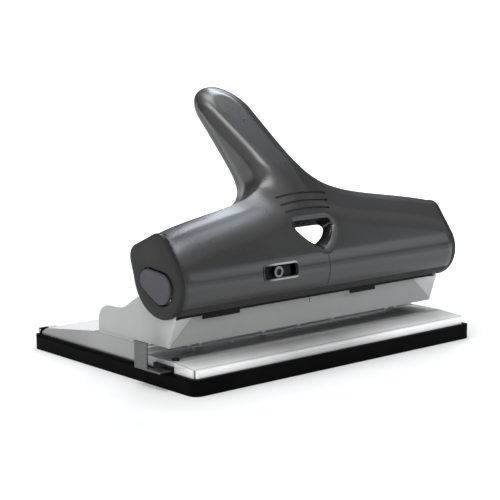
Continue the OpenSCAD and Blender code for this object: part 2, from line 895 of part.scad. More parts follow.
// Curved groove on the front face, at a distance up the face
module grip_groove(t, half) {
    p = face_start + t * dir(face_lean);
    half_angle = asin(half / groove_arc_r);
    band = concat(
        arc([0, -groove_arc_r], groove_arc_r - groove_w / 2, 90 - half_angle, 90 + half_angle),
        arc([0, -groove_arc_r], groove_arc_r + groove_w / 2, 90 + half_angle, 90 - half_angle));
    translate([0, p[0], p[1]])
        rotate([face_lean, 0, 0])
            translate([0, 0, -groove_depth])
                linear_extrude(2 * groove_depth)
                    polygon(band);
}

// End cap of the shell with the opening for the selector button
module end_cap() {
    outline = cap_outline();
    color([0.22, 0.22, 0.23])
        difference() {
            hull() {
                bar_x(outline, shell_half, cap_x - cap_chamfer);
                bar_x(inset(outline, cap_chamfer), shell_half, cap_x);
            }
            difference() {
                bar_x(inset(outline, shell_wall), shell_half - 1, cap_x - cap_skin);
                bar_x(button_outline(button_rim + button_gap), 0, far);
            }
            bar_x(button_outline(button_gap), 0, far);
        }
}

function button_outline(d) = egg(buttons[0], button_rs[0] + d, buttons[1], button_rs[1] + d);

// Steel channel inside the shell that carries axle bushes and selector
module lever_channel() {
    end_in = channel_half - channel_end_t;
    color([0.1, 0.1, 0.1])
        difference() {
            union() {
                block([-channel_half, flange_y, skirt_z], [channel_half, flange_y + channel_t, web_z]);
                block([-channel_half, flange_y, web_z], [channel_half, web_back, web_z + channel_t]);
                for (t = tab_places)
                    block([t[0], flange_y, skirt_z - tab_h_low], [t[1], flange_y + channel_t, skirt_z]);
                for (s = [0, 1])
                    mirror([s, 0, 0]) {
                        rod_x([pivot_y, pivot_z], hub_r, end_in, channel_half);
                        block([end_in, flange_y, pivot_z], [channel_half, pivot_y + hub_r, web_z]);
                        block([end_in, pivot_y, bar_z - 4], [channel_half, web_back, web_z]);
                    }
                block([-end_in, bolt_y - bolt_r - bolt_wall, bolt_z - bolt_r - bolt_wall],
                    [4 - end_in, flange_y, bolt_z + bolt_r + bolt_wall]);
            }
            rod_x([pivot_y, pivot_z], bush_r, -far, far);
            rod_x([bolt_y, bolt_z], bolt_r + run_fit, -far, 0);
            block([-far, pin_y - bar_w / 2 - bar_gap, bar_z - bar_gap],
                [far, pin_y + bar_w / 2 + bar_gap, web_z]);
            for (x = screw_xs)
                translate([x, screw_y, web_z - 1])
                    cylinder(r = screw_r, h = channel_t + 2);
        }
}

// Plain bushes of the channel on the axle
module pivot_bushes() {
    color([0.85, 0.85, 0.8])
        for (s = [0, 1])
            mirror([s, 0, 0])
                difference() {
                    union() {
                        rod_x([pivot_y, pivot_z], bush_r, channel_half - channel_end_t, channel_half);
                        rod_x([pivot_y, pivot_z], bush_r + 1.5, channel_half, channel_half + bush_flange);
                    }
                    rod_x([pivot_y, pivot_z], axle_r + run_fit, 0, far);
                }
}

// Screws from the channel into the shell's posts
module shell_screws() {
    head_h = 1.4;
    color([0.6, 0.6, 0.62])
        for (x = screw_xs)
            translate([x, screw_y, web_z]) {
                cylinder(r = screw_r, h = channel_t + screw_l);
                translate([0, 0, -head_h])
                    cylinder(r = 2 * screw_r, h = head_h);
            }
}

// Frame of the lock slot, let into the shell
module lock_bezel() {
    color([0.15, 0.15, 0.15])
        difference() {
            intersection() {
                lock_hole(0);
                rod_x(nose, nose_r + bezel_proud, -far, far);
            }
            lock_hole(bezel_w);
            rod_x(nose, nose_r - shell_wall, -far, far);
        }
}

// Slider of the lock with its knob and the leg that drives the bolt
module lock_slider() {
    leg_half = 5;
    slide_half = lock_l / 2 - lock_travel / 2;
    knob_proud = 0.5;
    color([0.08, 0.08, 0.08])
        difference() {
            union() {
                intersection() {
                    union() {
                        block([lock_rest - slide_half, slide_y, lock_z - lock_h / 2],
                            [lock_rest + slide_half, slide_y + slide_t, lock_z + lock_h / 2]);
                        block([lock_rest - leg_half, slide_y, bolt_z - bolt_r - 1.5],
                            [lock_rest + leg_half, bolt_y + bolt_r + 0.6, lock_z]);
                    }
                    rod_x(nose, nose_r - shell_wall - slide_gap, -far, far);
                }
                translate([lock_rest, slide_y + slide_t, lock_z])
                    rotate([90, 0, 0])
                        cylinder(r = knob_r, h = slide_y + slide_t - lock_face_y + knob_proud);
            }
            rod_x([bolt_y, bolt_z], bolt_r, -far, far);
            translate([lock_rest, lock_face_y + knob_proud, lock_z])
                rotate([90, 0, 0])
                    cylinder(r = knob_r * 0.6, h = 10);
        }
}

// Bolt that enters the left cheek when the lever is held down
module lock_bolt() {
    color([0.7, 0.7, 0.72])
        rod_x([bolt_y, bolt_z], bolt_r, -bolt_end, lock_rest + 5);
}

// Bar with the press lugs; the lugs of the unused pattern stand beside their pins
module selector_bar() {
    foot = 2.2;
    color([0.62, 0.62, 0.64])
        union() {
            block([-bar_left, pin_y - bar_w / 2, bar_z], [bar_right, pin_y + bar_w / 2, bar_z + bar_h]);
            for (x = concat(four_xs, [for (t = three_xs) t - selector_travel])) {
                block([x - lug_half, pin_y - foot, pivot_z + foot], [x + lug_half, pin_y + foot, bar_z]);
                rod_x([pin_y, pivot_z + foot], foot, x - lug_half, x + lug_half);
            }
        }
}

// Oval end button of the selector, from its inner face outwards
module selector_button(x0, x1) {
    color([0.34, 0.34, 0.36])
        bar_x(button_outline(0), x0, x1);
}

// Bent strip with the upright tab that the paper's edge meets
module paper_guide() {
    tab_front = guide_back_y + tab_step;
    color([0.6, 0.6, 0.6])
        union() {
            block([tab_x, guide_front_y, guide_bar_z],
                [tab_x + guide_l, guide_back_y, guide_bar_z + guide_t]);
            block([tab_x, guide_front_y, guide_bar_z],
                [tab_x + foot_l, tab_front + tab_w, guide_bar_z + guide_t]);
            block([tab_x, tab_front, guide_bar_z], [tab_x + guide_t, tab_front + tab_w, guide_bar_z + tab_h]);
        }
}

// Black clip in the left skirt that carries the guide's bar, with its button through the bed
module guide_clip() {
    color([0.06, 0.06, 0.06])
        difference() {
            union() {
                block([-base_half - clip_proud, clip_front, guide_bar_z - clip_gap],
                    [-clip_in, clip_back, clip_top]);
                block([-base_half, clip_front, guide_bar_z - clip_wall], [-clip_in, clip_back, clip_top]);
                block([clip_gap + base_t - base_half, clip_front, guide_bar_z - clip_wall],
                    [-clip_in, clip_back, die_top - clip_gap]);
                translate([nub_x, nub_y, clip_top])
                    cylinder(r = nub_r, h = bed_z + nub_h - clip_top);
            }
            block([-far, guide_front_y - clip_gap, guide_bar_z - clip_gap],
                [0, guide_back_y + clip_gap, guide_bar_z + guide_t + clip_gap]);
        }
}

chip_tray();
rubber_feet();
tray_hinge_pins();
base_plate();
die_strip();
die_rivets();
punch_frame();
frame_rivets();
punch_guide();
pin_springs(four_xs);  // four_hole_springs
pin_springs(three_xs);  // three_hole_springs
lever_axle();
axle_clips();
return_springs();
guide_clip();
punch(four_xs[0]);  // punch_outer_left
punch(four_xs[1]);  // punch_inner_left
punch(four_xs[2]);  // punch_inner_right
punch(four_xs[3]);  // punch_outer_right
punch(three_xs[0]);  // punch_three_left
punch(three_xs[1]);  // punch_three_centre
punch(three_xs[2]);  // punch_three_right
pin_clip(four_xs[0]);  // clip_outer_left
pin_clip(four_xs[1]);  // clip_inner_left
pin_clip(four_xs[2]);  // clip_inner_right
pin_clip(four_xs[3]);  // clip_outer_right
pin_clip(three_xs[0]);  // clip_three_left
pin_clip(three_xs[1]);  // clip_three_centre
pin_clip(three_xs[2]);  // clip_three_right
lever_shell();
mirror([1, 0, 0]) end_cap();  // end_cap_left
end_cap();  // end_cap_right
lever_channel();
pivot_bushes();
shell_screws();
lock_bezel();
lock_slider();
lock_bolt();
selector_bar();
selector_button(-button_out, button_t - button_out);  // selector_button_left
selector_button(bar_right, bar_right + button_t);  // selector_button_right
paper_guide();
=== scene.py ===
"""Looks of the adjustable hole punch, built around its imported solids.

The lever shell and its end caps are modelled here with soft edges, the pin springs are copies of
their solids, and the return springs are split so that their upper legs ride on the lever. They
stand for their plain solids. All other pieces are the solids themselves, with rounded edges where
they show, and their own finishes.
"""

import json
import math

import bmesh
import bpy
import numpy as np
from mathutils import Matrix, Vector


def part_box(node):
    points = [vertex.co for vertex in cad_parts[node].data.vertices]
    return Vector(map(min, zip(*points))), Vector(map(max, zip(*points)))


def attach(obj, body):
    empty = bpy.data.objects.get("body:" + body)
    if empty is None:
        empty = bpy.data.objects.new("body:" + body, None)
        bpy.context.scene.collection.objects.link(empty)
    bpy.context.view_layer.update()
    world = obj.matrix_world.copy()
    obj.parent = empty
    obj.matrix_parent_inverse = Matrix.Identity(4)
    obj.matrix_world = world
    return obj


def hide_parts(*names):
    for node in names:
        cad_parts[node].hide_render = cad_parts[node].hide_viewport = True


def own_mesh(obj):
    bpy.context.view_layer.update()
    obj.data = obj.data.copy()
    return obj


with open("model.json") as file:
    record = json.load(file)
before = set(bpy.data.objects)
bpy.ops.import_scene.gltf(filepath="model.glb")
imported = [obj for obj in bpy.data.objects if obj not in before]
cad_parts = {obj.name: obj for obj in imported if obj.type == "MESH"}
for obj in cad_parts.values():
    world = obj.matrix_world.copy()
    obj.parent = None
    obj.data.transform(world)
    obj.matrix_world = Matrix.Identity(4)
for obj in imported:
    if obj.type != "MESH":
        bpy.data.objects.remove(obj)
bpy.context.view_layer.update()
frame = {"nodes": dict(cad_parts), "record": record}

MM = 0.001
nodes = frame["nodes"]

# Outline of the shell in its side view, in millimetres: Y back, Z up
PIVOT = np.array([-70.0, 71.0])
NOSE = PIVOT + [1.5, 8.5]
NOSE_R = 26.3
BELLY_R = 35.8
BELLY = NOSE + [0.0, BELLY_R - NOSE_R]
BELLY_END = 348
BACK_CORNER = PIVOT + [44.3, 34.0]
BACK_ROUND = 2.5
FACE_LEAN = 53.1
FACE_L = 72.5
BROW_ROUND = 110.0
GRIP_LEAN = 34.2
GRIP_BACK_LEAN = 49.4
GRIP_L = 126.2
TIP_R = 6.4
ROOT_L = 92.0
ROOT_ROUND = 300.0

# Outline of the shell in its front view, measured up from the ends of the top edge
TOP_FALL = 24.5
GRIP_HALF = 18.5
GRIP_SPREAD = 0.077
FLARE_A = 10.5
FLARE_B = 6.5
SPREAD_FROM = 40.0
ROUND_FROM = 117.0
ROUND_L = 28.5

# Soft edges of the shell
SKIN = 0.15
CREST_ROUND = 9.5
GRIP_ROUND = 5.0
CREST_TO_GRIP = (8.0, 40.0)
RIM_ROUND = 1.8
END_ROUNDS = (2.3, 0.2)
SHADE_ROUNDS = (28.0, 13.0)
SHADE_IN = 9.0
SHADE_TO_GRIP = (5.0, 55.0)
RIM_SHADE = 5.0
END_OVER = 0.3
NET_STEP = 1.25

# Triangular hole through the front face
TRI_HALF = 21.5
TRI_H = 22.0
TRI_TOP = NOSE[1] + 38.0
TRI_R = 4.0
TRI_BULGE = 1.6
TRI_POCKET = 20.0
LINER_DEPTHS = (2.5, 14.0)
LINER_WALL = 0.9
LINER_TOP = 7.1
LINER_FOOT = 2.3

# Places where finishes change: millimetres on the lever, metres on the base
FLANGE_Z = NOSE[1] - 15.8
LOCK_FACE = NOSE[0] - NOSE_R
RAMP_END = -0.1085
CREASE = -0.1050
RAMP_START = -0.0812
THROAT_FRONT = -0.0748
THROAT_BACK = -0.0475
SLOPE_START = 0.022
THROAT_RIGHT = (0.126, 0.136)
BED_Z = 0.0213
SIDE_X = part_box("base_plate")[1].x
PLATE_Y = -0.0698
CHEEK_X = 0.1497
BEZEL_X = (-0.069, -0.061)

# Ranges of the finishes' zones, in metres
ACROSS = (-0.16, 0.16)
SIDE_RANGE = (0.1, 0.16)
BASE_Y = (-0.12, 0.12)
FRAME_Y = (-0.1, 0.06)
SHELL_Z = (0.04, 0.24)
SLIDER_Y = (-0.11, -0.06)
BEZEL_RANGE = (-0.08, -0.03)

# Edges of the solids
WELD_GAP = 0.002 * MM
FLAT_ANGLE = 0.4
EDGE_SEGMENTS = 3

# End caps
SHELL_END = 1000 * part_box("lever_shell")[1].x
CAP_END = 1000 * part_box("end_cap_right")[1].x
CAP_POINTS = 180
CAP_CENTRE = PIVOT + [6.0, 15.0]
BUTTONS = (PIVOT + [0.0, 7.0], PIVOT + [16.5, 12.0])
BUTTON_RS = (12.4, 9.0)
BUTTON_GAP = 0.9

# Soft edges of the caps, as depth and how far in: beside the shell, at the rim, in the opening
CAP_JOINT_LEFT = [(0.15, 1.2), (0.5, 0.55), (1.0, 0.12)]
CAP_JOINT_RIGHT = [(-0.5, 0.06), (-0.2, 0.04), (0.5, 0.01)]
CAP_RIM = [(1.5, 0.0), (0.9, 0.14), (0.4, 0.5), (0.1, 1.05), (0, 1.7)]
CAP_OPENING = [(0, 1.1), (0.12, 0.5), (0.45, 0.12), (0.9, 0.0)]


def unit(angle):
    """Unit vector at an angle in degrees."""
    return np.array([math.cos(math.radians(angle)), math.sin(math.radians(angle))])


def arc(centre, radius, start, end, count=40):
    """Points of an arc, in degrees."""
    return [centre + radius * unit(a) for a in np.linspace(start, end, count)]


def fillet(before, corner, after, radius, count=24):
    """Points of a round corner between two straight stretches."""
    u = (before - corner) / np.linalg.norm(before - corner)
    w = (after - corner) / np.linalg.norm(after - corner)
    half = math.acos(float(np.dot(u, w))) / 2
    start = corner + u * radius / math.tan(half)
    end = corner + w * radius / math.tan(half)
    centre = corner + (u + w) / np.linalg.norm(u + w) * radius / math.sin(half)
    first = math.degrees(math.atan2(*(start - centre)[::-1]))
    turn = math.degrees(math.atan2(*(end - centre)[::-1])) - first
    turn = (turn + 180) % 360 - 180
    return arc(centre, radius, first, first + turn, count)


def bow(start, end, height, count=10):
    """Points of a flat arc that bulges to the right of the way from start to end."""
    half = np.linalg.norm(end - start) / 2
    radius = (half * half + height * height) / (2 * height)
    u = (end - start) / (2 * half)
    centre = (start + end) / 2 + (radius - height) * np.array([-u[1], u[0]])
    spread = math.degrees(math.asin(half / radius))
    middle = math.degrees(math.atan2(-u[0], u[1]))
    return arc(centre, radius, middle - spread, middle + spread, count)[1:-1]


def side_outline():
    """Side outline of the shell with its handle, anticlockwise."""
    face_start = NOSE + NOSE_R * unit(FACE_LEAN + 90)
    brow = face_start + FACE_L * unit(FACE_LEAN)
    tip = brow + GRIP_L * unit(GRIP_LEAN) + TIP_R * unit(GRIP_LEAN - 90)
    root = tip + TIP_R * unit(GRIP_BACK_LEAN - 90) - ROOT_L * unit(GRIP_BACK_LEAN)
    belly = arc(BELLY, BELLY_R, 270, BELLY_END)
    tip_arc = arc(tip, TIP_R, GRIP_BACK_LEAN - 90, GRIP_LEAN + 90)
    return np.array(
        belly
        + fillet(belly[-1], BACK_CORNER, root, BACK_ROUND)
        + fillet(BACK_CORNER, root, tip_arc[0], ROOT_ROUND)
        + tip_arc
        + fillet(tip_arc[-1], brow, face_start, BROW_ROUND)
        + arc(NOSE, NOSE_R, FACE_LEAN + 90, 265)
    )


def flare(x):
    """Rise of the top edge at a distance from the middle."""
    u = (x - GRIP_HALF) / (SHELL_END - GRIP_HALF)
    return FLARE_B * (1 - u**4) - FLARE_A * math.log(u)


def grip_at(rise):
    """Half width of the handle at a rise above the ends."""
    spread = GRIP_SPREAD * max(0.0, rise - SPREAD_FROM)
    return GRIP_HALF + spread + (SHELL_END - GRIP_HALF) * math.exp((FLARE_B - rise) / FLARE_A)


def front_outline():
    """Right half of the front outline, up to the tip, as pairs of place and rise."""
    reach = 1.2 * SHELL_END
    low = [(reach, -400.0)]
    edge = [GRIP_HALF + (reach - GRIP_HALF) * 0.08**u for u in np.linspace(0, 1, 60)]
    low += [(x, flare(x)) for x in edge]
    start = low[-1][1]
    low += [(grip_at(r), r) for r in np.linspace(start, ROUND_FROM, 40)[1:]]
    half = grip_at(ROUND_FROM)
    top = np.radians(np.linspace(3, 90, 30))
    low += [(half * math.cos(a), ROUND_FROM + ROUND_L * math.sin(a)) for a in top]
    right = np.array(low)
    left = right[-2::-1] * [-1, 1]
    return np.concatenate([right, left])


def triangle_outline():
    """Outline of the hole in the front face, as pairs of X and Z, anticlockwise."""
    corner = np.array([TRI_HALF - TRI_R, TRI_TOP - TRI_R])
    low = np.array([0.0, TRI_TOP - TRI_H + TRI_R + 1])
    left = arc(corner * [-1, 1], TRI_R, 90, 215, 16)
    foot = arc(low, TRI_R + 1, 225, 315, 16)
    right = arc(corner, TRI_R, -35, 90, 16)
    sides = bow(left[-1], foot[0], TRI_BULGE), bow(foot[-1], right[0], TRI_BULGE)
    return np.array(left + sides[0] + foot + sides[1] + right)


def outline_distance(points, a, b):
    """Signed distance from places (a, b) to a closed outline, below zero inside."""
    best = np.full(a.shape, np.inf)
    inside = np.zeros(a.shape, bool)
    for p, q in zip(points, np.roll(points, -1, axis=0)):
        e = q - p
        length = float(e @ e)
        if length < 1e-12:
            continue
        da, db = a - p[0], b - p[1]
        t = np.clip((da * e[0] + db * e[1]) / length, 0, 1)
        best = np.minimum(best, (da - t * e[0]) ** 2 + (db - t * e[1]) ** 2)
        if e[1] != 0:
            crosses = (p[1] <= b) != (q[1] <= b)
            inside ^= crosses & (da < e[0] * db / e[1])
    return np.where(inside, -1, 1) * np.sqrt(best)


SIDE = side_outline()
FRONT = front_outline()
TRIANGLE = triangle_outline()
FALL = math.radians(TOP_FALL)
CREST_V = float(BACK_CORNER @ [math.sin(FALL), math.cos(FALL)])
FACE_NORMAL = unit(FACE_LEAN + 90)
FACE_AT = float((NOSE + NOSE_R * FACE_NORMAL) @ FACE_NORMAL)


def smooth(t, low, high):
    """Soft step from 0 to 1 between two values."""
    t = np.clip((t - low) / (high - low), 0, 1)
    return t * t * (3 - 2 * t)


def round_both(a, b, radius):
    """Distance to what two forms share, with the edge between them rounded."""
    u = np.maximum(radius + a, 0)
    w = np.maximum(radius + b, 0)
    return np.minimum(np.maximum(a, b), -radius) + np.hypot(u, w)


def rise_at(y, z):
    """Rise of a place above the ends of the top edge."""
    return y * math.sin(FALL) + z * math.cos(FALL) - CREST_V


def body_distance(side, front, rise, shading=False):
    """Distance to the shell's soft outer form from its two views, rounder for shading."""
    crest, grip = SHADE_ROUNDS if shading else (CREST_ROUND, GRIP_ROUND)
    change = smooth(rise, *(SHADE_TO_GRIP if shading else CREST_TO_GRIP))
    radius = crest + (grip - crest) * change
    drawn_in = SHADE_IN * (1 - change) if shading else 0.0
    return round_both(side + SKIN, front + SKIN + drawn_in, radius)


def shell_distance(x, y, z, shading=False):
    """Distance to the shell's soft outer form, with the pocket of the triangular hole."""
    rise = rise_at(y, z)
    d = body_distance(outline_distance(SIDE, y, z), outline_distance(FRONT, x, rise), rise, shading)
    depth = FACE_AT - (y * FACE_NORMAL[0] + z * FACE_NORMAL[1])
    pocket = np.maximum(outline_distance(TRIANGLE, x, z) - SKIN, np.abs(depth) - TRI_POCKET)
    d = round_both(d, -pocket, RIM_SHADE if shading else RIM_ROUND)
    if shading:
        return d
    return round_both(d, np.abs(x) - SHELL_END - END_OVER, np.where(x < 0, *END_ROUNDS))


def shell_field(xs, ys, zs):
    """The shell's distance on a grid, worked out view by view."""
    y, z = np.meshgrid(ys, zs, indexing="ij")
    side = outline_distance(SIDE, y, z)
    rise = rise_at(y, z)
    depth = FACE_AT - (y * FACE_NORMAL[0] + z * FACE_NORMAL[1])
    rises = np.arange(rise.min(), rise.max() + 1, 0.5)
    field = np.empty((len(xs), len(ys), len(zs)))
    for i, x in enumerate(xs):
        line = outline_distance(FRONT, np.full(rises.shape, x), rises)
        front = np.interp(rise, rises, line)
        d = body_distance(side, front, rise)
        hole = outline_distance(TRIANGLE, np.full(zs.shape, x), zs)
        pocket = np.maximum(hole[None, :] - SKIN, np.abs(depth) - TRI_POCKET)
        d = round_both(d, -pocket, RIM_ROUND)
        field[i] = round_both(d, abs(x) - SHELL_END - END_OVER, END_ROUNDS[int(x >= 0)])
    return field


def crossing_edges(field, axis):
    """Grid edges along an axis where a field changes sign: low ends, crossings and ways round."""
    low = [slice(None)] * 3
    high = [slice(None)] * 3
    low[axis], high[axis] = slice(None, -1), slice(1, None)
    a, b = field[tuple(low)], field[tuple(high)]
    cross = (a < 0) != (b < 0)
    a, b = a[cross], b[cross]
    at = np.argwhere(cross)
    place = at.astype(float)
    place[:, axis] += a / (a - b)
    return at, place, (a > 0) != (axis == 1)


def cells_around(at, axis):
    """The four cells round each grid edge along an axis."""
    others = [k for k in range(3) if k != axis]
    around = []
    for step in ((0, 0), (1, 0), (1, 1), (0, 1)):
        cell = at.copy()
        cell[:, others[0]] -= step[0]
        cell[:, others[1]] -= step[1]
        around.append(cell)
    return np.stack(around, axis=1)


def surface_net(field, axes):
    """Quads of the surface where a field on a grid changes sign."""
    cells = tuple(n - 1 for n in field.shape)
    total = np.zeros(cells + (3,))
    count = np.zeros(cells, int)
    edges = []
    for axis in range(3):
        at, place, flip = crossing_edges(field, axis)
        around = cells_around(at, axis)
        for k in range(4):
            cell = tuple(around[:, k].T)
            np.add.at(total, cell, place)
            np.add.at(count, cell, 1)
        edges.append((around, flip))
    index = np.full(cells, -1)
    used = count > 0
    index[used] = np.arange(used.sum())
    spots = total[used] / count[used][:, None]
    lines = [np.interp(spots[:, k], np.arange(len(axes[k])), axes[k]) for k in range(3)]
    quads = []
    for around, flip in edges:
        quad = index[around[..., 0], around[..., 1], around[..., 2]]
        quad[flip] = quad[flip][:, ::-1]
        quads.append(quad)
    return np.stack(lines, axis=1), np.concatenate(quads)


def distance_and_slope(points, shading=False, step=0.02):
    """The shell's distance at points, and its slope there."""
    d = shell_distance(*points.T, shading)
    slope = np.empty_like(points)
    for k in range(3):
        shift = np.zeros(3)
        shift[k] = step
        slope[:, k] = (shell_distance(*(points + shift).T, shading) - d) / step
    return d, slope


def pull(points, rounds=2):
    """Moves points onto the shell's outer form along its slope."""
    for _ in range(rounds):
        d, slope = distance_and_slope(points)
        slope /= np.maximum(np.sum(slope * slope, axis=1), 0.25)[:, None]
        points = points - d[:, None] * slope
    return points


def true_normals(mesh, near=0.05, turn=0.6):
    """Normals of the rounder form on the skin, and flat faces elsewhere."""
    corners = np.empty(len(mesh.loops), int)
    mesh.loops.foreach_get("vertex_index", corners)
    sizes = np.empty(len(mesh.polygons), int)
    mesh.polygons.foreach_get("loop_total", sizes)
    flat = np.empty(3 * len(mesh.polygons))
    mesh.polygons.foreach_get("normal", flat)
    normals = np.repeat(flat.reshape(-1, 3), sizes, axis=0)
    points = np.empty(3 * len(mesh.vertices))
    mesh.vertices.foreach_get("co", points)
    points = points.reshape(-1, 3) / MM
    outer = np.abs(shell_distance(*points.T)) < near
    slope = np.zeros_like(points)
    slope[outer] = distance_and_slope(points[outer], True)[1]
    slope /= np.maximum(np.linalg.norm(slope, axis=1), 1e-6)[:, None]
    slope = slope[corners]
    skin = np.sum(slope * normals, axis=1) > turn
    normals[skin] = slope[skin]
    mesh.shade_smooth()
    mesh.normals_split_custom_set(normals.tolist())


def new_piece(name, points, faces):
    """Object from points in millimetres and faces."""
    mesh = bpy.data.meshes.new(name)
    mesh.from_pydata((np.asarray(points) * MM).tolist(), [], [list(map(int, f)) for f in faces])
    mesh.validate()
    mesh.update()
    piece = bpy.data.objects.new(name, mesh)
    bpy.context.scene.collection.objects.link(piece)
    return piece


def ring_faces(rings, count, first=0):
    """Faces from each ring of points to the next, and from the last to the first."""
    faces = []
    for k in range(rings):
        a, b = first + k * count, first + (k + 1) % rings * count
        faces += [(a + i, a + (i + 1) % count, b + (i + 1) % count, b + i) for i in range(count)]
    return faces


def face_outwards(mesh):
    """Turns all faces of a closed mesh the same way."""
    work = bmesh.new()
    work.from_mesh(mesh)
    bmesh.ops.recalc_face_normals(work, faces=work.faces)
    work.to_mesh(mesh)
    work.free()


def soft_shade(mesh, angle=35):
    """Smooth shading with sharp edges kept."""
    mesh.shade_smooth()
    mesh.set_sharp_from_angle(angle=math.radians(angle))


def welded_copy(node, name):
    """Copy of a node's mesh with its loose corners joined."""
    piece = bpy.data.objects.new(name, nodes[node].data.copy())
    piece.data.materials.clear()
    bpy.context.scene.collection.objects.link(piece)
    weld = piece.modifiers.new("weld", "WELD")
    weld.merge_threshold = WELD_GAP
    return piece


def settle(piece):
    """Puts a piece's modifiers into its mesh."""
    depsgraph = bpy.context.evaluated_depsgraph_get()
    mesh = bpy.data.meshes.new_from_object(piece.evaluated_get(depsgraph))
    piece.modifiers.clear()
    piece.data = mesh
    return piece


def liner_ring(grow, depth, narrow):
    """Ring of the hole's liner at a depth behind the face, its top and foot drawn in or not."""
    out = TRIANGLE - np.array([0.0, TRI_TOP - TRI_H / 2])
    x, z = (TRIANGLE + grow * out / np.linalg.norm(out, axis=1)[:, None]).T
    y = (FACE_AT - z * FACE_NORMAL[1]) / FACE_NORMAL[0] + depth
    if narrow:
        z = TRI_TOP - LINER_TOP - (TRI_TOP - z) * (1 - (LINER_TOP + LINER_FOOT) / TRI_H)
    return np.stack([x, y, z], axis=1)


def make_liner():
    """Wall of the triangular hole, drawn in towards the back."""
    front, back = LINER_DEPTHS
    rings = [liner_ring(LINER_WALL, front, False), liner_ring(-0.1, front, False)]
    rings += [liner_ring(-0.1, back, True), liner_ring(LINER_WALL, back, True)]
    faces = ring_faces(len(rings), len(TRIANGLE))
    liner = new_piece("hole_liner", np.concatenate(rings), faces)
    face_outwards(liner.data)
    return liner


def take_in(piece, other):
    """Adds another piece's mesh to a piece, and removes the other."""
    work = bmesh.new()
    work.from_mesh(piece.data)
    work.from_mesh(other.data)
    work.to_mesh(piece.data)
    work.free()
    bpy.data.objects.remove(other)


def make_shell():
    """Lever shell: the solid's inside and cuts, with a soft outer skin."""
    low, high = [np.array(v) * 1000 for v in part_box("lever_shell")]
    margin = 4 * NET_STEP
    axes = [np.arange(low[k] - margin, high[k] + margin, NET_STEP) for k in range(3)]
    points, quads = surface_net(shell_field(*axes), axes)
    skin = new_piece("shell_skin", pull(points), quads)
    face_outwards(skin.data)
    shell = welded_copy("lever_shell", "lever_shell_skin")
    cut = shell.modifiers.new("skin", "BOOLEAN")
    cut.operation = "INTERSECT"
    cut.solver = "MANIFOLD"
    cut.object = skin
    settle(shell)
    bpy.data.objects.remove(skin)
    shell.data.materials.clear()
    take_in(shell, make_liner())
    true_normals(shell.data)
    return shell


def cap_ring(level):
    """Outline of the shell's end, moved in by a level, as pairs of Y and Z."""
    angles = np.linspace(0, 360, CAP_POINTS, endpoint=False)
    ways = np.array([unit(a) for a in angles])
    near = np.zeros(CAP_POINTS)
    far = np.full(CAP_POINTS, 70.0)
    for _ in range(40):
        middle = (near + far) / 2
        y, z = (CAP_CENTRE + ways * middle[:, None]).T
        rise = rise_at(y, z)
        front = outline_distance(FRONT, np.full(y.shape, SHELL_END), rise)
        inside = body_distance(outline_distance(SIDE, y, z), front, rise) < -level
        near = np.where(inside, middle, near)
        far = np.where(inside, far, middle)
    return CAP_CENTRE + ways * near[:, None]


def egg_ring(grow):
    """Outline of the oval button, grown, as pairs of Y and Z round the same centre as the cap's."""
    apart = BUTTONS[1] - BUTTONS[0]
    heading = math.degrees(math.atan2(apart[1], apart[0]))
    reach = np.linalg.norm(apart)
    beta = math.degrees(math.acos((BUTTON_RS[0] - BUTTON_RS[1]) / reach))
    points = arc(BUTTONS[0], BUTTON_RS[0] + grow, heading + beta, heading + 360 - beta, 60)
    points += arc(BUTTONS[1], BUTTON_RS[1] + grow, heading - beta, heading + beta, 40)
    return np.array(points)


def egg_matched(grow):
    """The oval button's outline at the cap ring's angles about the button's middle."""
    outline = egg_ring(grow)
    centre = (BUTTONS[0] + BUTTONS[1]) / 2
    target = cap_ring(0)
    ways = (target - centre) / np.linalg.norm(target - centre, axis=1)[:, None]
    near = np.zeros(CAP_POINTS)
    far = np.full(CAP_POINTS, 40.0)
    for _ in range(40):
        middle = (near + far) / 2
        spot = centre + ways * middle[:, None]
        inside = outline_distance(outline, *spot.T) < 0
        near = np.where(inside, middle, near)
        far = np.where(inside, far, middle)
    return centre + ways * near[:, None]


def make_cap(side):
    """End cap with a soft rim and the opening of the selector button; side is -1 or 1."""
    depth = CAP_END - SHELL_END
    outer = CAP_JOINT_LEFT if side < 0 else CAP_JOINT_RIGHT
    outer = outer + [(1.5, 0.0)] + [(depth - x, level) for x, level in CAP_RIM]
    rings = [(x, cap_ring(level)) for x, level in outer]
    inner = [(depth - x, grow) for x, grow in CAP_OPENING] + [(0.15, 0.0)]
    rings += [(x, egg_matched(BUTTON_GAP + grow)) for x, grow in inner]
    points = []
    for x, ring in rings:
        points += [(side * (SHELL_END + x), y, z) for y, z in ring]
    faces = ring_faces(len(rings), CAP_POINTS)
    if side < 0:
        faces = [face[::-1] for face in faces]
    name = "end_cap_right" if side > 0 else "end_cap_left"
    cap = new_piece(name + "_soft", points, faces)
    soft_shade(cap.data, 50)
    return cap


# Finishes; scale of a drawn grain along each axis
DRAWN = (8, 900, 900)


def finish_nodes(name):
    """New material with its shader and a coordinate source."""
    material = bpy.data.materials.new(name)
    material.use_nodes = True
    tree = material.node_tree
    shader = tree.nodes["Principled BSDF"]
    place = tree.nodes.new("ShaderNodeTexCoord")
    return material, tree, shader, place.outputs["Object"]


def stretched(tree, place, scale):
    """Coordinates scaled along each axis."""
    mapping = tree.nodes.new("ShaderNodeMapping")
    mapping.inputs["Scale"].default_value = scale
    tree.links.new(place, mapping.inputs["Vector"])
    return mapping.outputs["Vector"]


def noise(tree, place, scale, detail=4.0, rough=0.55):
    """Noise texture's value."""
    texture = tree.nodes.new("ShaderNodeTexNoise")
    texture.inputs["Scale"].default_value = scale
    texture.inputs["Detail"].default_value = detail
    texture.inputs["Roughness"].default_value = rough
    tree.links.new(place, texture.inputs["Vector"])
    return texture.outputs["Fac"]


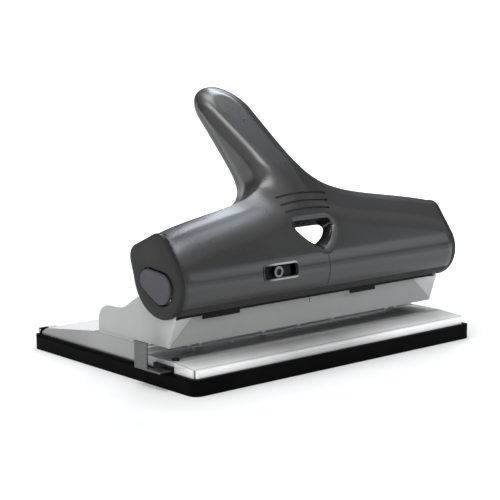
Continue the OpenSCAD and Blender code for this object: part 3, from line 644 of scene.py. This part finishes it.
def spread(tree, value, low, high, start=0.3, end=0.7):
    """A value mapped from one range to another."""
    node = tree.nodes.new("ShaderNodeMapRange")
    node.inputs["From Min"].default_value = start
    node.inputs["From Max"].default_value = end
    node.inputs["To Min"].default_value = low
    node.inputs["To Max"].default_value = high
    tree.links.new(value, node.inputs["Value"])
    return node.outputs["Result"]


def shades(tree, value, dark, light, start=0.35, end=0.65):
    """A colour between two shades."""
    ramp = tree.nodes.new("ShaderNodeValToRGB")
    ramp.color_ramp.elements[0].position = start
    ramp.color_ramp.elements[0].color = (*dark, 1)
    ramp.color_ramp.elements[1].position = end
    ramp.color_ramp.elements[1].color = (*light, 1)
    tree.links.new(value, ramp.inputs["Fac"])
    return ramp.outputs["Color"]


def bumped(tree, shader, height, distance, strength):
    """Bump from a height value."""
    bump = tree.nodes.new("ShaderNodeBump")
    bump.inputs["Distance"].default_value = distance
    bump.inputs["Strength"].default_value = strength
    tree.links.new(height, bump.inputs["Height"])
    tree.links.new(bump.outputs["Normal"], shader.inputs["Normal"])


def moulded(name, dark, light, rough, specular=0.5, grain=900):
    """Moulded or painted surface with a fine grain and slight unevenness of shade and gloss."""
    material, tree, shader, place = finish_nodes(name)
    broad = noise(tree, place, 25, 3)
    fine = noise(tree, place, grain, 2)
    tree.links.new(shades(tree, broad, dark, light), shader.inputs["Base Color"])
    tree.links.new(spread(tree, broad, *rough), shader.inputs["Roughness"])
    shader.inputs["Specular IOR Level"].default_value = specular
    bumped(tree, shader, fine, 0.00004, 0.25)
    return material


def metal(name, dark, light, rough, grain=DRAWN):
    """Metal with a fine drawn grain along one axis and faint smudges."""
    material, tree, shader, place = finish_nodes(name)
    drawn = noise(tree, stretched(tree, place, grain), 1.0, 3)
    smudge = noise(tree, place, 18, 4)
    tree.links.new(shades(tree, drawn, dark, light), shader.inputs["Base Color"])
    tree.links.new(spread(tree, smudge, *rough), shader.inputs["Roughness"])
    shader.inputs["Metallic"].default_value = 1.0
    bumped(tree, shader, drawn, 0.00001, 0.15)
    return material


def coiled(name, pitch):
    """Spring steel with the wire's turns as a bump, and painted shade between the turns."""
    material, tree, shader, place = finish_nodes(name)
    wave = tree.nodes.new("ShaderNodeTexWave")
    wave.bands_direction = "Z"
    wave.inputs["Scale"].default_value = 0.31 / pitch
    tree.links.new(place, wave.inputs["Vector"])
    # Painted shade in the gaps between the turns.
    turns = shades(tree, wave.outputs["Fac"], grey(0.02), (0.55, 0.55, 0.57), 0.1, 0.6)
    tree.links.new(turns, shader.inputs["Base Color"])
    shader.inputs["Metallic"].default_value = 1.0
    shader.inputs["Roughness"].default_value = 0.3
    bumped(tree, shader, wave.outputs["Fac"], 0.0006, 1.0)
    return material


def along(tree, place, axis):
    """One coordinate of a place."""
    split = tree.nodes.new("ShaderNodeSeparateXYZ")
    tree.links.new(place, split.inputs["Vector"])
    return split.outputs[axis]


def zones(tree, value, low, high, stops):
    """Colours along a coordinate, as pairs of place and colour between two ends."""
    ramp = tree.nodes.new("ShaderNodeValToRGB")
    while len(ramp.color_ramp.elements) < len(stops):
        ramp.color_ramp.elements.new(0.5)
    for element, (at, shade) in zip(ramp.color_ramp.elements, stops):
        element.position = (at - low) / (high - low)
        element.color = (*shade, 1)
    tree.links.new(spread(tree, value, 0, 1, low, high), ramp.inputs["Fac"])
    return ramp.outputs["Color"]


def tinted(tree, first, second, mask=None):
    """Product of two colours, or of the first and the second where a mask says so."""
    mix = tree.nodes.new("ShaderNodeMix")
    mix.data_type = "RGBA"
    mix.blend_type = "MULTIPLY"
    mix.inputs[0].default_value = 1
    if mask:
        tree.links.new(mask, mix.inputs[0])
    tree.links.new(first, mix.inputs[6])
    tree.links.new(second, mix.inputs[7])
    return mix.outputs[2]


def both(tree, first, second):
    """Product of two values."""
    node = tree.nodes.new("ShaderNodeMath")
    node.operation = "MULTIPLY"
    tree.links.new(first, node.inputs[0])
    tree.links.new(second, node.inputs[1])
    return node.outputs["Value"]


def size_of(tree, value):
    """A value without its sign."""
    node = tree.nodes.new("ShaderNodeMath")
    node.operation = "ABSOLUTE"
    tree.links.new(value, node.inputs[0])
    return node.outputs["Value"]


def grey(shade, blue=1.0):
    """Neutral colour, with its blue part scaled."""
    return (shade, shade, shade * blue)


def shell_paint():
    """Satin paint with a black lower flange; painted shade up the handle and by the left cap."""
    material, tree, shader, place = finish_nodes("shell_paint")
    height = along(tree, place, "Z")
    seam = FLANGE_Z * MM
    stops = [(seam - 0.0006, grey(0.006)), (seam - 0.0002, grey(0.002))]
    stops += [(seam + 0.0002, grey(0.002)), (seam + 0.0006, grey(0.014, 1.06))]
    # Painted shade: the paint darkens upwards from 15 to 17.5 cm, over the handle.
    stops += [(0.15, grey(0.014, 1.06)), (0.175, grey(0.007, 1.06))]
    paint = zones(tree, height, *SHELL_Z, stops)
    # Painted shade in the joint beside the left cap: the shell is dark for its last 1.6 mm on the
    # left.
    joint = SHELL_END * MM
    stops = [(0.0016 - joint, grey(0.12)), (0.0024 - joint, grey(1.0))]
    ends = zones(tree, along(tree, place, "X"), *ACROSS, stops)
    broad = noise(tree, place, 25, 3)
    zoned_and_mottled = tinted(tree, paint, shades(tree, broad, grey(0.92), grey(1.0)))
    tree.links.new(tinted(tree, zoned_and_mottled, ends), shader.inputs["Base Color"])
    stops = [(seam - 0.0003, grey(0.95)), (seam + 0.0003, grey(0.31))]
    gloss = zones(tree, height, *SHELL_Z, stops)
    gloss = tinted(tree, gloss, shades(tree, broad, grey(0.86), grey(1.0)))
    tree.links.new(gloss, shader.inputs["Roughness"])
    shader.inputs["Specular IOR Level"].default_value = 0.7
    bumped(tree, shader, noise(tree, place, 900, 2), 0.00004, 0.012)
    return material


def cap_plastic():
    """Matt plastic of the end caps, painted shade in the joint beside the shell on the left."""
    material, tree, shader, place = finish_nodes("cap_plastic")
    joint = SHELL_END * MM
    # Painted shade: dark for a few millimetres where the left cap meets the shell.
    stops = [(-joint - 0.0014, grey(0.014, 1.05)), (-joint - 0.0008, grey(0.003))]
    stops += [(-joint + 0.002, grey(0.003)), (-joint + 0.004, grey(0.014, 1.05))]
    paint = zones(tree, along(tree, place, "X"), *ACROSS, stops)
    broad = noise(tree, place, 25, 3)
    zoned_and_mottled = tinted(tree, paint, shades(tree, broad, grey(0.9), grey(1.0)))
    tree.links.new(zoned_and_mottled, shader.inputs["Base Color"])
    tree.links.new(spread(tree, broad, 0.42, 0.5), shader.inputs["Roughness"])
    shader.inputs["Specular IOR Level"].default_value = 0.22
    bumped(tree, shader, noise(tree, place, 900, 2), 0.00004, 0.25)
    return material


def front_to_back(tree, place, drawn):
    """Colour of the base from front to back, with painted shade and reflections along the ramp."""
    back = along(tree, place, "Y")
    # Painted shade in the crease, a painted highlight just behind it, a painted reflection darkening
    # up the ramp, and set shades on the bed, plateau and rear slope.
    stops = [(CREASE - 0.0010, grey(0.9)), (CREASE - 0.0003, grey(0.6))]
    stops += [(CREASE + 0.0003, grey(0.6)), (CREASE + 0.0012, grey(0.95))]
    stops += [(CREASE + 0.0045, grey(0.9)), (CREASE + 0.011, grey(0.78))]
    stops += [(RAMP_START - 0.001, grey(0.78)), (RAMP_START, grey(0.55)), (THROAT_BACK, grey(0.6))]
    stops += [(SLOPE_START, grey(0.7)), (SLOPE_START + 0.03, grey(0.55))]
    steel = zones(tree, back, *BASE_Y, stops)
    zoned_and_mottled = tinted(tree, steel, shades(tree, drawn, grey(0.97), grey(1.0)))
    ramp = spread(tree, back, 1, 0, RAMP_START - 0.001, RAMP_START)
    # Painted reflection: the ramp is darker across its middle.
    stops = [(-0.125, grey(1.0)), (-0.05, grey(0.58)), (0.01, grey(0.58)), (0.075, grey(1.0))]
    return tinted(tree, zoned_and_mottled, zones(tree, along(tree, place, "X"), *ACROSS, stops), ramp)


def darker_sides(tree, place, colour):
    """Painted shade along the base's upper side edges, and skirts darker towards the back."""
    out = size_of(tree, along(tree, place, "X"))
    # Painted shade on the rounded top edges of the sides.
    stops = [(SIDE_X - 0.0011, grey(1.0)), (SIDE_X - 0.0008, grey(0.16))]
    stops += [(SIDE_X - 0.0003, grey(0.16)), (SIDE_X - 0.0001, grey(1.0))]
    colour = tinted(tree, colour, zones(tree, out, *SIDE_RANGE, stops))
    skirt = spread(tree, out, 0, 1, SIDE_X - 0.0003, SIDE_X - 0.0001)
    stops = [(-0.078, grey(1.0)), (-0.05, grey(0.5))]
    return tinted(tree, colour, zones(tree, along(tree, place, "Y"), *BASE_Y, stops), skirt)


def painted_throat_shade(tree, place, colour):
    """Painted shade on the bed under the pins, fading towards its right end."""
    across = along(tree, place, "X")
    bed = spread(tree, along(tree, place, "Z"), 0, 1, BED_Z - 0.0006, BED_Z - 0.0002)
    inner = spread(tree, size_of(tree, across), 1, 0, SIDE_X - 0.0011, SIDE_X - 0.0008)
    inside = spread(tree, across, 1, 0.35, *THROAT_RIGHT)
    mask = both(tree, both(tree, bed, inner), inside)
    stops = [(THROAT_FRONT - 0.0004, grey(1.0)), (THROAT_FRONT, grey(0.24))]
    stops += [(THROAT_BACK, grey(0.24)), (THROAT_BACK + 0.0015, grey(1.0))]
    return tinted(tree, colour, zones(tree, along(tree, place, "Y"), *BASE_Y, stops), mask)


def base_steel():
    """Polished steel, satin towards the front, with painted shade in the throat and on the sides."""
    material, tree, shader, place = finish_nodes("polished_steel")
    back = along(tree, place, "Y")
    drawn = noise(tree, stretched(tree, place, DRAWN), 1.0, 3)
    colour = darker_sides(tree, place, front_to_back(tree, place, drawn))
    tree.links.new(painted_throat_shade(tree, place, colour), shader.inputs["Base Color"])
    stops = [(CREASE - 0.0012, grey(0.2)), (CREASE + 0.0014, grey(0.1)), (RAMP_START, grey(0.15))]
    stops += [(THROAT_BACK, grey(1.0)), (THROAT_BACK + 0.002, grey(0.55))]
    stops += [(SLOPE_START, grey(0.5)), (SLOPE_START + 0.03, grey(0.2))]
    tree.links.new(zones(tree, back, *BASE_Y, stops), shader.inputs["Metallic"])
    stops = [(RAMP_END, grey(0.25)), (RAMP_START, grey(0.12)), (THROAT_FRONT - 0.0004, grey(0.12))]
    stops += [(THROAT_FRONT, grey(0.4)), (THROAT_BACK, grey(0.4)), (THROAT_BACK + 0.0015, grey(0.18))]
    smudge = shades(tree, noise(tree, place, 18, 4), grey(0.85), grey(1.0))
    gloss = tinted(tree, zones(tree, back, *BASE_Y, stops), smudge)
    tree.links.new(gloss, shader.inputs["Roughness"])
    bumped(tree, shader, drawn, 0.00001, 0.08)
    return material


def frame_paint():
    """Silver paint, with painted shade on the front plate and a painted highlight at the cheeks'
    fronts.
    """
    material, tree, shader, place = finish_nodes("frame_paint")
    back = along(tree, place, "Y")
    # Painted highlight along the cheeks' front edges, fading to painted shade towards the back.
    stops = [(PLATE_Y - 0.015, grey(0.62)), (PLATE_Y - 0.004, grey(0.5))]
    stops += [(PLATE_Y + 0.014, grey(0.4))]
    paint = zones(tree, back, *FRAME_Y, stops)
    out = size_of(tree, along(tree, place, "X"))
    plate = spread(tree, out, 1, 0, CHEEK_X - 0.0004, CHEEK_X - 0.0001)
    # Painted shade on the front plate under the shell's overhang, and on what lies behind it.
    stops = [(PLATE_Y - 0.0006, grey(1.0)), (PLATE_Y - 0.0002, grey(0.64))]
    paint = tinted(tree, paint, zones(tree, back, *FRAME_Y, stops), plate)
    broad = noise(tree, place, 25, 3)
    zoned_and_mottled = tinted(tree, paint, shades(tree, broad, grey(0.95), grey(1.0)))
    tree.links.new(zoned_and_mottled, shader.inputs["Base Color"])
    tree.links.new(spread(tree, broad, 0.45, 0.55), shader.inputs["Roughness"])
    shader.inputs["Specular IOR Level"].default_value = 0.15
    bumped(tree, shader, noise(tree, place, 700, 2), 0.00003, 0.15)
    return material


def bezel_plastic():
    """Bezel of the lock, dark at its left end and pale along the rest."""
    material, tree, shader, place = finish_nodes("bezel_plastic")
    stops = [(BEZEL_X[0], grey(0.05)), (BEZEL_X[1], grey(1.0))]
    paint = zones(tree, along(tree, place, "X"), *BEZEL_RANGE, stops)
    low, high = [v.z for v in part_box("lock_bezel")]
    stops = [(low + 0.0012, grey(0.3)), (low + 0.0018, grey(0.03))]
    stops += [(high - 0.0018, grey(0.03)), (high - 0.0012, grey(0.3))]
    rims = zones(tree, along(tree, place, "Z"), low - 0.001, high + 0.001, stops)
    broad = noise(tree, place, 60, 3)
    zoned_and_mottled = tinted(tree, tinted(tree, paint, rims), shades(tree, broad, grey(0.9), grey(1.0)))
    tree.links.new(zoned_and_mottled, shader.inputs["Base Color"])
    tree.links.new(spread(tree, broad, 0.25, 0.32), shader.inputs["Roughness"])
    return material


def slider_plastic():
    """Black slider with a grey face on its knob."""
    material, tree, shader, place = finish_nodes("slider_plastic")
    face = LOCK_FACE * MM
    stops = [(face - 0.0002, grey(0.16)), (face + 0.0003, grey(0.004))]
    paint = zones(tree, along(tree, place, "Y"), *SLIDER_Y, stops)
    broad = noise(tree, place, 60, 3)
    zoned_and_mottled = tinted(tree, paint, shades(tree, broad, grey(0.9), grey(1.0)))
    tree.links.new(zoned_and_mottled, shader.inputs["Base Color"])
    tree.links.new(spread(tree, broad, 0.35, 0.45), shader.inputs["Roughness"])
    shader.inputs["Specular IOR Level"].default_value = 0.12
    return material


BUTTON_SHADES = ((0.046, 0.044, 0.051), (0.056, 0.053, 0.061))
BUSH_SHADES = ((0.6, 0.58, 0.5), (0.7, 0.68, 0.6))
FINISHES = {
    "shell_paint": shell_paint(),
    "cap_plastic": cap_plastic(),
    "button_plastic": moulded("button_plastic", *BUTTON_SHADES, (0.4, 0.48), 0.25),
    "black_plastic": moulded("black_plastic", grey(0.004), grey(0.007), (0.3, 0.4), 0.15),
    "bezel_plastic": bezel_plastic(),
    "tray_plastic": moulded("tray_plastic", grey(0.0015), grey(0.003), (0.34, 0.44), 0.02, 700),
    "foot_rubber": moulded("foot_rubber", grey(0.012), grey(0.02), (0.75, 0.9), 0.3, 500),
    "bush_plastic": moulded("bush_plastic", *BUSH_SHADES, (0.4, 0.5)),
    "polished_steel": base_steel(),
    "frame_paint": frame_paint(),
    "plain_steel": metal("plain_steel", grey(0.5), grey(0.6), (0.22, 0.34)),
    "pin_steel": metal("pin_steel", grey(0.3), grey(0.36), (0.25, 0.35), grain=(900, 900, 20)),
    "black_steel": moulded("black_steel", grey(0.005), grey(0.008), (0.55, 0.65), 0.1),
    "spring_steel": coiled("spring_steel", 0.0026),
}

# Finishes of single nodes that differ from their slot's
NODE_FINISHES = {
    "lock_slider": slider_plastic(),
    "paper_guide": metal("guide_steel", grey(0.13), grey(0.15), (0.3, 0.4)),
    # The punch guide's dark colour is painted shade, keeping its reflections in the bed under the
    # frame dark.
    "punch_guide": metal("guide_channel_steel", grey(0.05), grey(0.07), (0.35, 0.45)),
}

# Rounded edges of the solids that show, as width and smallest angle
EDGES = {
    "chip_tray": (0.5, 25),
    "base_plate": (0.7, 12),
    "punch_frame": (0.4, 25),
    "paper_guide": (0.35, 40),
    "guide_clip": (0.3, 40),
    "selector_button_left": (0.9, 60),
    "selector_button_right": (0.9, 60),
    "lock_bezel": (0.15, 50),
    "lock_slider": (0.4, 50),
    "lever_channel": (0.25, 50),
}


def dress_nodes():
    """Finish of every node from its material slot, and rounded edges where they show."""
    for part in frame["record"]["subparts"]:
        piece = nodes[part["node"]]
        piece.data.materials.clear()
        finish = NODE_FINISHES.get(part["node"], FINISHES[part["material_slot"]])
        piece.data.materials.append(finish)
    for node, (width, angle) in EDGES.items():
        piece = nodes[node]
        weld = piece.modifiers.new("weld", "WELD")
        weld.merge_threshold = WELD_GAP
        flat = piece.modifiers.new("flat", "DECIMATE")
        flat.decimate_type = "DISSOLVE"
        flat.angle_limit = math.radians(FLAT_ANGLE)
        edge = piece.modifiers.new("edge", "BEVEL")
        edge.width = width * MM
        edge.segments = EDGE_SEGMENTS
        edge.limit_method = "ANGLE"
        edge.angle_limit = math.radians(angle)
        edge.harden_normals = True
        weigh = piece.modifiers.new("weigh", "WEIGHTED_NORMAL")
        weigh.keep_sharp = True


def dress_lever():
    """Soft shell and caps in place of their solids."""
    shell = make_shell()
    shell.data.materials.append(FINISHES["shell_paint"])
    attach(shell, "lever")
    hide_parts("lever_shell")
    for side, node in ((-1, "end_cap_left"), (1, "end_cap_right")):
        cap = make_cap(side)
        cap.data.materials.append(FINISHES["cap_plastic"])
        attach(cap, "lever")
        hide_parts(node)


# Pin springs, with the joint that presses them
PRESSED = {"four_hole_springs": "lever_hinge", "three_hole_springs": "punch_slide_three_centre"}

# Return springs, in millimetres
LEG_R = 0.45
LEG_POINTS = 24
COIL_RS = (5.2, 4.3)
COIL_X = (98.0, 124.0)
COIL_POINTS = 48


def dress_springs():
    """Pin springs, copied from their solids with their loose corners joined, on the base."""
    for node, joint in PRESSED.items():
        spring = settle(welded_copy(node, node + "_pressed"))
        spring.data.materials.clear()
        spring.data.materials.append(FINISHES["spring_steel"])
        soft_shade(spring.data)
        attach(spring, "base")
        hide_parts(node)
        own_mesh(spring)


def spring_legs(name, x, y, low, high):
    """Upright legs of the two return springs."""
    mesh = bpy.data.meshes.new(name)
    work = bmesh.new()
    for side in (-1, 1):
        spot = Matrix.Translation(Vector((side * x, y, (low + high) / 2)) * MM)
        size = {"radius1": LEG_R * MM, "radius2": LEG_R * MM, "depth": (high - low) * MM}
        bmesh.ops.create_cone(work, cap_ends=True, segments=LEG_POINTS, matrix=spot, **size)
    work.to_mesh(mesh)
    work.free()
    legs = bpy.data.objects.new(name, mesh)
    bpy.context.scene.collection.objects.link(legs)
    return legs


def spring_coils():
    """Coils of the two return springs round the axle."""
    ways = [unit(a) for a in np.linspace(0, 360, COIL_POINTS, endpoint=False)]
    points = []
    faces = []
    for side in (-1, 1):
        first = len(points)
        for x, radius in zip((*COIL_X, *COIL_X[::-1]), np.repeat(COIL_RS, 2)):
            points += [(side * x, *(PIVOT + radius * way)) for way in ways]
        faces += ring_faces(4, COIL_POINTS, first)
    coils = new_piece("return_spring_coils", points, faces)
    face_outwards(coils.data)
    return coils


def dress_return_springs():
    """Return springs split where they turn: coils on the base, upper legs on the lever."""
    low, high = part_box("return_springs")
    out = COIL_RS[0] - LEG_R
    coils = spring_coils()
    y, z = PIVOT
    take_in(coils, spring_legs("lower_legs", COIL_X[0] + 2 * LEG_R, y + out, low.z / MM, z))
    legs = spring_legs("return_spring_legs", COIL_X[1] - 2 * LEG_R, y - out, z, high.z / MM)
    for piece, body in ((coils, "base"), (legs, "lever")):
        piece.data.materials.clear()
        piece.data.materials.append(FINISHES["spring_steel"])
        soft_shade(piece.data)
        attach(piece, body)
        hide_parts("return_springs")


# Studio
CAMERA_AT = (-0.8354, -0.9516, 0.2903)
CAMERA_PITCH = 9.286
CAMERA_YAW = 41.069
CAMERA_LENS = 105.02
FLOOR_HALF = 30.0
KEY_SIDE = (-0.8, -0.6, 0.0)


def make_camera():
    """Camera at the photograph's viewing angle."""
    data = bpy.data.cameras.new("camera")
    data.lens = CAMERA_LENS
    data.sensor_width = 36
    data.clip_end = 200
    camera = bpy.data.objects.new("camera", data)
    camera.location = CAMERA_AT
    camera.rotation_euler = (math.radians(90 - CAMERA_PITCH), 0, math.radians(-CAMERA_YAW))
    bpy.context.scene.collection.objects.link(camera)
    bpy.context.scene.camera = camera


def soft_light(name, place, aim, size, radiance, colour=(1, 1, 1)):
    """Rectangular soft light that faces a point."""
    data = bpy.data.lights.new(name, "AREA")
    data.shape = "RECTANGLE"
    data.size, data.size_y = size
    data.energy = radiance * math.pi * size[0] * size[1]
    data.color = colour
    light = bpy.data.objects.new(name, data)
    light.location = place
    light.rotation_euler = (Vector(aim) - Vector(place)).to_track_quat("-Z", "Y").to_euler()
    light.visible_camera = False
    bpy.context.scene.collection.objects.link(light)


def make_floor():
    """Pale floor under the object, glowing more the further it lies from the object."""
    h = FLOOR_HALF * 1000
    floor = new_piece("floor", [(-h, -h, 0), (h, -h, 0), (h, h, 0), (-h, h, 0)], [(0, 1, 2, 3)])
    white = moulded("floor_white", grey(0.8), grey(0.82), (0.7, 0.8), 0.1)
    tree = white.node_tree
    shader = tree.nodes["Principled BSDF"]
    shader.inputs["Emission Color"].default_value = (1, 1, 1, 1)
    # Painted light: the floor glows, not at all near the object and more further away.
    away = tree.nodes.new("ShaderNodeVectorMath")
    away.operation = "LENGTH"
    tree.links.new(tree.nodes["Texture Coordinate"].outputs["Object"], away.inputs[0])
    glow = spread(tree, away.outputs["Value"], 0.0, 0.7, 0.3, 0.8)
    tree.links.new(glow, shader.inputs["Emission Strength"])
    floor.data.materials.append(white)


def make_world():
    """White surroundings, dimmer near the horizon except around the camera."""
    world = bpy.data.worlds.new("studio")
    world.use_nodes = True
    tree = world.node_tree
    way = tree.nodes.new("ShaderNodeTexCoord").outputs["Generated"]
    stops = [(0.0, grey(1.0)), (0.012, grey(1.0)), (0.03, grey(0.12)), (0.3, grey(0.14))]
    stops += [(0.45, grey(0.3)), (0.75, grey(0.3)), (0.95, grey(0.8))]
    dim = zones(tree, along(tree, way, "Z"), 0, 1, stops)
    facing = tree.nodes.new("ShaderNodeVectorMath")
    facing.operation = "DOT_PRODUCT"
    facing.inputs[1].default_value = KEY_SIDE
    tree.links.new(way, facing.inputs[0])
    light = spread(tree, facing.outputs["Value"], 0, 1, 0.1, 0.6)
    tree.links.new(dim, light.node.inputs["To Min"])
    background = tree.nodes["Background"]
    tree.links.new(light, background.inputs["Color"])
    background.inputs["Strength"].default_value = 1.35
    bpy.context.scene.world = world


make_camera()
dress_nodes()
dress_lever()
dress_springs()
dress_return_springs()
make_floor()
make_world()
centre = (0, -0.05, 0.1)
soft_light("back_softbox", (1.0, 0.88, 1.2), centre, (0.55, 0.5), 8.0, (0.84, 0.9, 1.0))
soft_light("middle_softbox", (0.35, 0.6, 1.65), centre, (0.7, 0.45), 6.0, (0.9, 0.94, 1.0))
soft_light("top_softbox", (-0.5, 0.1, 1.75), centre, (0.9, 0.5), 7.0)
soft_light("nose_strip", (0.45, -0.52, 0.34), (0, -0.1, 0.07), (0.5, 0.3), 1.4, (0.9, 0.95, 1.0))
bpy.context.scene.view_settings.view_transform = "Standard"
